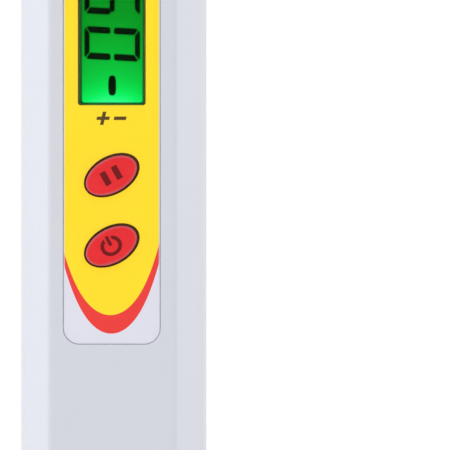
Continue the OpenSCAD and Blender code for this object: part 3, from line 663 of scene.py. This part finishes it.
def sleeve_material(name, negative_z, positive_z):
    """Shrunk plastic sleeve of a cell, with two pale rings and a grey band at its positive end."""
    g = Graph(name)
    z = g.xyz()[2]
    way = 1.0 if positive_z > negative_z else -1.0
    along = g.math("MULTIPLY", g.math("SUBTRACT", z, negative_z), way)
    crinkle = g.noise(700.0, 4.0, 0.6, g.scaled(1.0, 1.0, 0.35))
    cloud = g.noise(120.0, 2.0)
    body = g.mix(cloud, (0.020, 0.085, 0.30), (0.026, 0.105, 0.36))
    length = abs(positive_z - negative_z)

    def ring(at, half):
        d = g.math("ABSOLUTE", g.math("SUBTRACT", along, at))
        return g.math("SUBTRACT", 1.0, g.step(d, half, 0.06))

    pale = (0.62, 0.64, 0.66)
    band = length - 11.0
    col = g.mix(g.step(along, band, 0.08), body, (0.30, 0.32, 0.34))
    col = g.mix(ring(band, 0.35), col, pale)
    col = g.mix(ring(4.0, 0.25), col, pale)
    return g.surface(Base_Color=col, Roughness=g.mapped(crinkle, 0.3, 0.7, 0.22, 0.34),
                     Coat_Weight=0.4, Coat_Roughness=0.12, Normal=g.bump(crinkle, 0.03 * MM, 0.5))


mat_board = board_material()
mat_stripe = stripe_material()
mat_label = label_material()
mat_lcd = lcd_material()
mat_segment = segment_material()
mat_key = key_material()

# ------------------------------------------------------------------ face

key_holes = [ellipse(0, z, key_a + key_gap, key_b + key_gap, key_tilt) for z in (hold_z, power_z)]
window_hole = round_rect(-window_x, window_z0, window_x, window_z1, 0.6, 6)
film_outline = round_rect(label_low[0], label_low[2], label_high[0], label_high[2], 3.2, 16)
# holes run the other way round from the outline
plate("label_film", [film_outline] + [loop[::-1] for loop in [window_hole] + key_holes],
      label_low[1], label_high[1], 0.08, mat_label, "housing", ["face_label"], 50.0)


def window_loop(grow, r):
    """The clear part's outline, grown by some millimetres each way."""
    return round_rect(-window_x - grow, window_z0 - grow, window_x + grow, window_z1 + grow, r, 6)


flange_t = 0.8
plate("window_pane", [window_loop(-0.05, 0.55)], window_low[1], window_high[1] - flange_t, 0.12,
      mat_window, "housing", ["display_window"], 50.0)
flange_outline = round_rect(window_low[0], window_low[2], window_high[0], window_high[2], 1.0, 6)
plate("window_flange", [flange_outline, window_loop(0.1, 0.5)[::-1]], window_high[1] - flange_t,
      window_high[1], 0.1, mat_window, "housing", [], 50.0)


def smooth01(t):
    """A smooth rise from 0 to 1 as t goes from 0 to 1."""
    t = max(0.0, min(1.0, t))
    return t * t * (3 - 2 * t)


def rounded_box_distance(u, v, cu, cv, hu, hv, r):
    """Distance to a box round (cu, cv), with half sizes hu and hv and corners of radius r."""
    du, dv = abs(u - cu) - hu + r, abs(v - cv) - hv + r
    return math.hypot(max(du, 0), max(dv, 0)) + min(max(du, dv), 0) - r


def pause_mark(u, v):
    """Two upright bars, for hold."""
    return min(rounded_box_distance(u, v, c, 0, 0.62, 1.45, 0.18) for c in (-1.3, 1.3))


def power_mark(u, v):
    """An open ring with a line in its gap."""
    s = v / 0.9
    ring = abs(math.hypot(u, s) - 1.85) - 0.37
    gap = rounded_box_distance(u, v, 0, 1.6, 0.80, 1.0, 0.1)
    ring = max(ring, -gap)
    line = rounded_box_distance(u, v, 0, 1.15, 0.33, 1.05, 0.2)
    return min(ring, line)


def key_piece(name, z, mark, body, node, low, high):
    """A crowned oval key, its flange behind the face and its stem."""
    segs = 168
    rings = 64
    edge_r = 0.5
    crown = 0.12
    sunk_by = 0.16
    off_centre = 0.08
    flange_front = face_y + 2.05
    flange_back = flange_front + 0.9
    flange_edge = 0.1
    stem_r = 1.6
    bm = bmesh.new()
    ink = bm.verts.layers.float.new("ink")
    rim = bm.verts.layers.float.new("rim")
    front, tip = low[1], high[1]
    c, s = math.cos(math.radians(key_tilt)), math.sin(math.radians(key_tilt))

    def vert_at(u, v, y):
        x = u * c - v * s - off_centre
        up = z + u * s + v * c - off_centre
        return bm.verts.new((x * MM, y * MM, up * MM))

    def oval(a, b, y):
        return [vert_at(a * math.cos(t), b * math.sin(t), y) for t in circle_angles(segs)]

    def oval_beyond(grow, y):
        return oval(key_a + grow, key_b + grow, y)

    layers = [[vert_at(0, 0, front)]]
    layers[0][0][ink] = 1 - smooth01((mark(0, 0) + 0.06) / 0.12)
    for i in range(1, rings + 1):
        share = i / rings
        ring = []
        for t in circle_angles(segs):
            u = (key_a - edge_r) * share * math.cos(t)
            v = (key_b - edge_r) * share * math.sin(t)
            d = mark(u, v)
            sunk = 1 - smooth01((d + 0.07) / 0.14)
            vert = vert_at(u, v, front + crown * share ** 2.4 + sunk_by * sunk)
            vert[ink] = 1 - smooth01((d + 0.05) / 0.12)
            ring.append(vert)
        layers.append(ring)
    edge_steps = 6
    for k in range(1, edge_steps + 1):
        turn = math.radians(90 * k / edge_steps)
        inset = edge_r * (1 - math.sin(turn))
        layers.append(oval_beyond(-inset, front + crown + edge_r * (1 - math.cos(turn))))
        # the rim weight marks the rounded edge where the painted highlight goes
        for vert in layers[-1]:
            vert[rim] = smooth01(k / 2) * (1 - smooth01((k - 4) / 2))
    for grow, y in ((0.0, flange_front - 0.1), (0.05, flange_front), (key_flange - flange_edge, flange_front),
                    (key_flange, flange_front + flange_edge), (key_flange, flange_back - flange_edge),
                    (key_flange - flange_edge, flange_back)):
        layers.append(oval_beyond(grow, y))
    for r, y in ((stem_r + 0.3, flange_back), (stem_r, flange_back + 0.25), (stem_r, tip - 0.1),
                 (stem_r - 0.1, tip)):
        layers.append(oval(r, r, y))
    layers.append([vert_at(0, 0, tip)])
    skin(bm, layers)
    return finish_piece(name, bm, mat_key, body, [node], 60.0)


key_piece("hold_key_pad", hold_z, pause_mark, "hold_button", "hold_key", hold_low, hold_high)
key_piece("power_key_pad", power_z, power_mark, "power_button", "power_key", power_low, power_high)

# ------------------------------------------------------------------ display

# The reading runs up the meter: its left end is at the bottom and the tops of its digits point to -X.
READING = "054"
LIT_SEGMENTS = {"0": "abcdef", "5": "afgcd", "4": "fgbc"}
DIGIT_W = 6.75
DIGIT_H = 11.3
DIGIT_PITCH = 9.25
FIRST_DIGIT = 9.2
BAR_ACROSS = 1.38
BAR_ALONG = 1.08
NICK = 0.10
SLANT = math.tan(math.radians(3.2))


def segment_shapes():
    """Outlines of the seven segments, as (across, up) points with mitred ends."""
    w, h, b, t, n = DIGIT_W, DIGIT_H, BAR_ACROSS, BAR_ALONG, NICK
    cut = 0.62
    mid = h / 2 + 0.34
    top = [(cut + n, h), (w - cut - n, h), (w - cut * 0.45 - n, h - cut * 0.42),
           (w - b - n, h - t), (b + n, h - t), (cut * 0.45 + n, h - cut * 0.42)]
    left_top = [(0, h - cut - n), (cut * 0.42, h - cut * 0.5 - n), (b, h - t - n),
                (b, mid + 0.25), (b - 0.3, mid), (0.35, mid), (0, mid + 0.3)]
    middle = [(0.45, h / 2), (b * 0.75, h / 2 + t / 2), (w - b * 0.75, h / 2 + t / 2),
              (w - 0.45, h / 2), (w - b * 0.75, h / 2 - t / 2), (b * 0.75, h / 2 - t / 2)]

    def flip_u(points):
        return [(w - u, v) for u, v in points]

    def flip_v(points):
        return [(u, h - v) for u, v in points]

    return {"a": top, "d": flip_v(top), "f": left_top, "e": flip_v(left_top),
            "b": flip_u(left_top), "c": flip_v(flip_u(left_top)), "g": middle}


def minus_sign():
    """A bar with full, rounded ends."""
    centre_z = window_z0 + 4.1
    half_x = 0.80
    half_z = 2.05
    points = []
    for t in circle_angles(36):
        x = half_x * math.copysign(abs(math.cos(t)) ** 0.6, math.cos(t))
        z = half_z * math.copysign(abs(math.sin(t)) ** 0.75, math.sin(t))
        points.append((x, centre_z + z))
    return points


def lcd_segments():
    """The lit segments and the minus sign, as thin plates just in front of the glass."""
    bm = bmesh.new()
    shapes = segment_shapes()
    y_back = glass_low[1] - 0.01
    y_front = y_back - 0.04

    def prism(points):
        front = [bm.verts.new((x * MM, y_front * MM, z * MM)) for x, z in points]
        back = [bm.verts.new((x * MM, y_back * MM, z * MM)) for x, z in points]
        bm.faces.new(front)
        bm.faces.new(back[::-1])
        skin(bm, [front, back])

    for place, digit in enumerate(READING):
        start_z = window_z0 + FIRST_DIGIT + DIGIT_PITCH * place
        for name in LIT_SEGMENTS[digit]:
            prism([(DIGIT_H / 2 - v, start_z + u + SLANT * (v - DIGIT_H / 2)) for u, v in shapes[name]])
    prism(minus_sign())
    return finish_piece("lcd_segments", bm, mat_segment, "housing", [], 20.0)


lcd_segments()
dress("lcd_front_glass", mat_lcd, bevel=0.05)
dress("lcd_rear_glass", mat_lcd, bevel=0.05)
dress("backlight_panel", mat_lcd, bevel=0.1)
dress("backlight_leds", mat_lcd, bevel=0.1)


def display_frame():
    """The dark frame round the glass, its mouth chamfered towards the lit panel and painted green as the
    panel's glow falling on it.
    """
    edge = 0.15
    chamfer = 0.36
    seat_gap = 0.05
    corner_r = 0.5
    middle_z = (window_z0 + window_z1) / 2
    mouth_x = window_x - 0.42
    mouth_h = (window_z1 - window_z0) / 2 - 0.28
    seat_x = glass_high[0] + seat_gap
    seat_h = (glass_high[2] - glass_low[2]) / 2 + seat_gap
    out_x = bezel_high[0]
    out_h = (bezel_high[2] - bezel_low[2]) / 2
    front, glass, back = bezel_low[1], glass_low[1], bezel_high[1]
    # half width, half height, depth, and whether the next stretch is the lit mouth
    stations = [(out_x - edge, out_h - edge, front, False),
                (mouth_x + 0.05, mouth_h + 0.05, front, False),
                (mouth_x, mouth_h, front + 0.05, True),
                (mouth_x - chamfer, mouth_h - chamfer, glass - 0.03, True),
                (seat_x, seat_h, glass - 0.02, False),
                (seat_x, seat_h, back, False),
                (out_x - edge, out_h - edge, back, False),
                (out_x, out_h, back - edge, False),
                (out_x, out_h, front + edge, False)]
    bm = bmesh.new()
    rings = []
    for hx, hz, y, _ in stations:
        loop = round_rect(-hx, middle_z - hz, hx, middle_z + hz, corner_r, 5)
        rings.append([bm.verts.new((x * MM, y * MM, z * MM)) for x, z in loop])
    for i, ring in enumerate(rings):
        lit = stations[i][3]
        skin(bm, [ring, rings[(i + 1) % len(rings)]], 1 if lit else 0)
    return finish_piece("display_frame", bm, [mat_frame, mat_painted_glow], "housing",
                        ["lcd_bezel"], 20.0)


display_frame()
dress("lcd_connector_strip", mat_stripe, bevel=0.05)

# ------------------------------------------------------------------ fasteners, cells and springs

def cross_recess(u, v, half):
    """Distance to a cross whose arms taper towards their ends."""
    a, b = abs(u), abs(v)
    if b > a:
        a, b = b, a
    return max(a - half, b - half * (0.26 - 0.10 * a / half))


def screws(name, node, head_r, shaft_r, head_h):
    """Pan-head screws that face +Y, one at each corner of the node's box."""
    segs = 56
    rings = 26
    recess = head_h * 0.62
    recess_r = head_r * 0.62
    crown = head_h * 0.32
    pitch = 0.45
    thread_h = 0.10
    low, high = near(node)
    seat = high[1] - head_h
    rim = high[1] - crown
    bm = bmesh.new()

    def head_top(u, v):
        dome = high[1] - crown * ((u * u + v * v) / head_r ** 2) ** 1.6
        return dome - recess * (1 - smooth01((cross_recess(u, v, recess_r) + 0.05) / 0.10))

    def screw_at(cx, cz):
        def point(u, v, y):
            return bm.verts.new(((cx + u) * MM, y * MM, (cz + v) * MM))

        def ring(r, y):
            return [point(r * math.cos(t), r * math.sin(t), y) for t in circle_angles(segs)]

        layers = [[point(0, 0, head_top(0, 0))]]
        for i in range(1, rings + 1):
            r = head_r * 0.93 * i / rings
            spots = [(r * math.cos(t), r * math.sin(t)) for t in circle_angles(segs)]
            layers.append([point(u, v, head_top(u, v)) for u, v in spots])
        layers += [ring(head_r, rim - 0.1 * head_h), ring(head_r, seat + 0.1),
                   ring(head_r - 0.1, seat), ring(shaft_r, seat)]
        # the thread, as a row of raised flanks, four rings to a turn
        turns = int((seat - low[1] - 1.2) / pitch)
        for i in range(turns * 4):
            rise = max(thread_h * math.cos(math.pi / 2 * (i % 4)), 0)
            layers.append(ring(shaft_r - thread_h - 0.02 + rise, seat - 0.5 - i * pitch / 4))
        layers += [ring(shaft_r * 0.5, low[1] + 0.25), [point(0, 0, low[1])]]
        skin(bm, layers)

    for cx in (low[0] + head_r, high[0] - head_r):
        for cz in (low[2] + head_r, high[2] - head_r):
            screw_at(cx, cz)
    return finish_piece(name, bm, mat_steel, "housing", [node], 50.0)


def cell(name, node, nub_up):
    """A dry cell: steel ends, a shrunk sleeve that curls over them, and the nub."""
    low, high = near(node)
    cx, cy = (low[0] + high[0]) / 2, (low[1] + high[1]) / 2
    r = (high[0] - low[0]) / 2
    length = high[2] - low[2]
    nub = 1.0
    end = length - nub
    base, way = (low[2], 1) if nub_up else (high[2], -1)
    curl = r - 1.25
    flat_end = [(0, 0), (r - 1.5, 0), (r - 1.35, 0.05), (curl, 0.22)]
    sleeve = [(curl, 0.22), (r - 1.2, 0.06), (r - 0.9, 0.0), (r - 0.35, 0.02), (r - 0.1, 0.14),
              (r, 0.4), (r, 1.2), (r - 0.03, 1.6), (r, 2.0), (r, end - 1.2), (r, end - 0.4),
              (r - 0.1, end - 0.14), (r - 0.35, end - 0.02), (r - 0.95, end), (r - 1.2, end - 0.05),
              (curl, end - 0.25)]
    nub_end = [(curl, end - 0.25), (2.6, end - 0.25), (2.3, end - 0.18), (2.0, end - 0.02),
               (1.88, end + 0.2), (1.86, length - 0.25), (1.75, length - 0.06), (1.5, length),
               (0, length)]
    bm = bmesh.new()
    for profile, mat in ((flat_end, 1), (sleeve, 0), (nub_end, 1)):
        lathe_into(bm, profile, (cx, cy, base), (0, 0, way), 64, mat)
    bmesh.ops.remove_doubles(bm, verts=bm.verts, dist=0.0005 * MM)
    sleeve_mat = sleeve_material(name + "_sleeve", base, base + way * end)
    return finish_piece(name, bm, [sleeve_mat, mat_nickel], "housing", [node], 35.0)


def sweep_into(bm, points, r, n):
    """A round wire along points, with rounded ends, in millimetres."""
    points = [Vector(p) for p in points]
    last = len(points) - 1
    ways = [(points[min(i + 1, last)] - points[max(i - 1, 0)]).normalized() for i in range(len(points))]
    side = ways[0].orthogonal().normalized()
    frames = []
    for p, way in zip(points, ways):
        side = (side - way * side.dot(way)).normalized()
        frames.append((p, way, side.copy(), way.cross(side)))

    def circle(p, side, up, radius):
        return [bm.verts.new((p + (side * math.cos(t) + up * math.sin(t)) * radius) * MM)
                for t in circle_angles(n)]

    def end_cap(frame, sign):
        """The smaller ring and the tip beyond an end."""
        p, way, side, up = frame
        small = circle(p + way * sign * r * 0.35, side, up, r * 0.7)
        return [small, [bm.verts.new((p + way * sign * r * 0.5) * MM)]]

    start = end_cap(frames[0], -1)[::-1]
    body = [circle(p, side, up, r) for p, _, side, up in frames]
    skin(bm, start + body + end_cap(frames[-1], 1))


def springs():
    """Tapered contact coils with closed end turns, one under each cell's flat end."""
    wire_r = 0.35
    wide = 3.6
    narrow = 2.0
    turns = 3.9
    flat_share = 0.12
    steps = 150
    low, high = near("battery_springs")
    bm = bmesh.new()
    for node, z_plate, way in (("battery_left", low[2], 1), ("battery_right", high[2], -1)):
        cell_low, cell_high = near(node)
        cx, cy = (cell_low[0] + cell_high[0]) / 2, (cell_low[1] + cell_high[1]) / 2
        z_cell = cell_low[2] if way > 0 else cell_high[2]
        start = z_plate + way * wire_r
        end = z_cell - way * (wire_r + 0.02)
        points = []
        for i in range(steps + 1):
            t = i / steps
            rise = max(0.0, min(1.0, (t - flat_share) / (1 - 2 * flat_share)))
            climb = (smooth01(rise) + rise) / 2
            a = 2 * math.pi * turns * t
            r = wide + (narrow - wide) * t
            points.append((cx + r * math.cos(a), cy + r * math.sin(a), start + (end - start) * climb))
        sweep_into(bm, points, wire_r, 12)
    return finish_piece("contact_springs", bm, mat_nickel, "housing", ["battery_springs"], 60.0)


screws("casing_screws", "case_screws", 2.4, 1.2, 1.6)
screws("board_screws", "pcb_screws", 1.8, 0.9, 1.1)
cell("cell_left", "battery_left", True)
cell("cell_right", "battery_right", False)
springs()

# ------------------------------------------------------------------ casing

CASING_SHARP = 28.0  # degrees; sharper edges of the casing are rounded

dress("front_shell", mat_body, CASING_SHARP, 0.14)
dress("rear_shell", mat_body, CASING_SHARP, 0.14)
dress("battery_door", mat_body, CASING_SHARP, 0.12)
dress("storage_cap", mat_cap, CASING_SHARP, 0.16)

# ------------------------------------------------------------------ inside

INSIDE = {
    "circuit_board": mat_board,
    "chip_on_board": mat_resin,
    "smd_components": mat_dark,
    "trimmer_body": mat_trimmer,
    "trimmer_screw": mat_brass,
    "bridge_contact": mat_nickel,
    "positive_terminal": mat_nickel,
    "negative_terminal": mat_nickel,
    "battery_wires": mat_wire,
    "hold_plunger": mat_dark,
    "power_plunger": mat_dark,
    "hold_switch": mat_steel,
    "power_switch": mat_steel,
    "electrode_collar": mat_grey,
    "collar_seal": mat_black_rubber,
    "electrode_bush": mat_black_rubber,
    "electrode_guard": mat_grey,
    "glass_stem": mat_stem,
    "platinum_pin": mat_platinum,
    "reference_junction": mat_white,
    "reference_wire": mat_silver,
    "electrode_head": mat_dark,
    "electrode_cable": mat_cable,
}
# the thin wires and the seal ring are left without a bevel
NO_BEVEL = ("battery_wires", "collar_seal", "platinum_pin", "reference_wire", "electrode_cable")
for node, mat in INSIDE.items():
    dress(node, mat, bevel=0.0 if node in NO_BEVEL else 0.08)

# ------------------------------------------------------------------ stage, light and camera

middle_z = (CAD_BOX[0][2] + CAD_BOX[1][2]) / 2


def pale_floor():
    """A pale painted floor that reaches further in front of the meter than behind it."""
    half_size = 1.8
    forward = 0.7
    bm = bmesh.new()
    bmesh.ops.create_grid(bm, x_segments=8, y_segments=8, size=half_size)
    bmesh.ops.translate(bm, verts=bm.verts, vec=(0, -forward, 0))
    mesh = bpy.data.meshes.new("floor")
    bm.to_mesh(mesh)
    bm.free()
    g = Graph("floor_paint")
    paint = g.mix(g.noise(8.0), (0.925, 0.925, 0.935), (0.945, 0.945, 0.955))
    mesh.materials.append(g.surface(Base_Color=paint, Roughness=0.6))
    floor = bpy.data.objects.new("floor", mesh)
    bpy.context.collection.objects.link(floor)
    return floor


def white_surround(scene):
    """Even white light from all round."""
    world = bpy.data.worlds.new("studio")
    world.use_nodes = True
    background = world.node_tree.nodes["Background"]
    background.inputs["Color"].default_value = (1.0, 1.0, 1.0, 1.0)
    background.inputs["Strength"].default_value = 1.03
    scene.world = world
    scene.view_settings.view_transform = "Standard"


def lamp(name, place, size, power):
    """A soft rectangular lamp that faces the middle of the meter."""
    data = bpy.data.lights.new(name, "AREA")
    data.shape = "RECTANGLE"
    data.size, data.size_y = size
    data.energy = power
    obj = bpy.data.objects.new(name, data)
    obj.location = place
    obj.rotation_euler = (Vector((0, 0, middle_z)) - Vector(place)).to_track_quat("-Z", "Y").to_euler()
    bpy.context.collection.objects.link(obj)


def front_camera(scene):
    """A level view, almost straight on, with the meter in the left half of the picture."""
    view_w = 91.44 * MM
    distance = 1.2
    aside = 22.86 * MM
    above_power_key = 4.16 * MM
    turn = math.radians(0.6)
    data = bpy.data.cameras.new("camera")
    data.sensor_width = 36.0
    data.lens = data.sensor_width * (distance + face_y * MM) / view_w
    data.clip_start = 0.05
    data.clip_end = 20.0
    camera = bpy.data.objects.new("camera", data)
    camera.location = (aside * math.cos(turn) + distance * math.sin(turn),
                       aside * math.sin(turn) - distance * math.cos(turn),
                       power_z * MM + above_power_key)
    camera.rotation_euler = (math.radians(90), 0, turn)
    bpy.context.collection.objects.link(camera)
    scene.camera = camera


floor = pale_floor()
white_surround(bpy.context.scene)
lamp("key_light", (-0.80, 0.06, middle_z + 0.10), (0.4, 0.7), 1.9)
lamp("rim_light", (0.75, 0.42, middle_z + 0.10), (0.4, 0.7), 1.15)
lamp("low_light", (-0.42, -0.62, 0.12), (0.22, 0.22), 0.35)
front_camera(bpy.context.scene)
